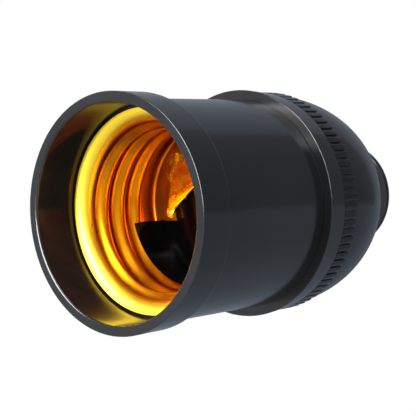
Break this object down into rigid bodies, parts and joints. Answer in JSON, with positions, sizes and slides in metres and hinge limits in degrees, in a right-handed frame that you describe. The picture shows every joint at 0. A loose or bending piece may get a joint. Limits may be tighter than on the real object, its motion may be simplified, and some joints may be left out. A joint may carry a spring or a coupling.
{
  "type": "lamp socket",
  "caption": "Black moulded screw-shell lamp holder with a plain skirt, brass shell, sprung centre contact and a ribbed domed cap with a threaded neck.",
  "frame": {"origin": "centre of the flat end of the threaded neck, on the lamp's axis, where the holder stands", "axes": "+Z along the axis from the neck to the open mouth; +X towards the side where the centre contact is fixed"},
  "size_m": [0.036, 0.036, 0.0587],
  "materials": {
    "black_moulding": "moulded thermoset, semi-gloss black",
    "block_moulding": "moulded thermoset, glossy black",
    "shell_brass": "rolled sheet brass, lightly tarnished",
    "contact_brass": "spring brass, half bright",
    "terminal_brass": "plain brass strip",
    "screw_brass": "turned brass screws",
    "screw_steel": "zinc-plated steel",
    "entry_steel": "zinc-plated steel"
  },
  "bodies": {
    "cap": {"rear_cap": "black_moulding", "neck_entry": "entry_steel"},
    "core": {"contact_block": "block_moulding", "screw_shell": "shell_brass", "shell_screws": "screw_brass", "shell_nut": "screw_steel", "contact_bracket": "contact_brass", "contact_rivet": "contact_brass", "live_terminal": "terminal_brass", "neutral_terminal": "terminal_brass", "terminal_screws": "screw_steel", "terminal_washers": "screw_steel"},
    "skirt": {"skirt": "black_moulding"},
    "tongue": {"contact_tongue": "contact_brass"}
  },
  "joints": [
    {"name": "core_draw", "type": "slide", "parent": "cap", "child": "core", "axis": [0, 0, 1], "range_m": [0, 0.006]},
    {"name": "skirt_turn", "type": "hinge", "parent": "core", "child": "skirt", "pos_m": [0, 0, 0.03], "axis": [0, 0, 1], "range_deg": [0, 1084]},
    {"name": "tongue_press", "type": "hinge", "parent": "core", "child": "tongue", "pos_m": [0.00885, 0, 0.0387], "axis": [0, -1, 0], "range_deg": [0, 25], "stiffness_Nm_per_rad": 0.08}
  ],
  "couplings": [
    {"joint": "skirt_turn", "follows": "core_draw", "rad_per_m": 3141.6}
  ]
}
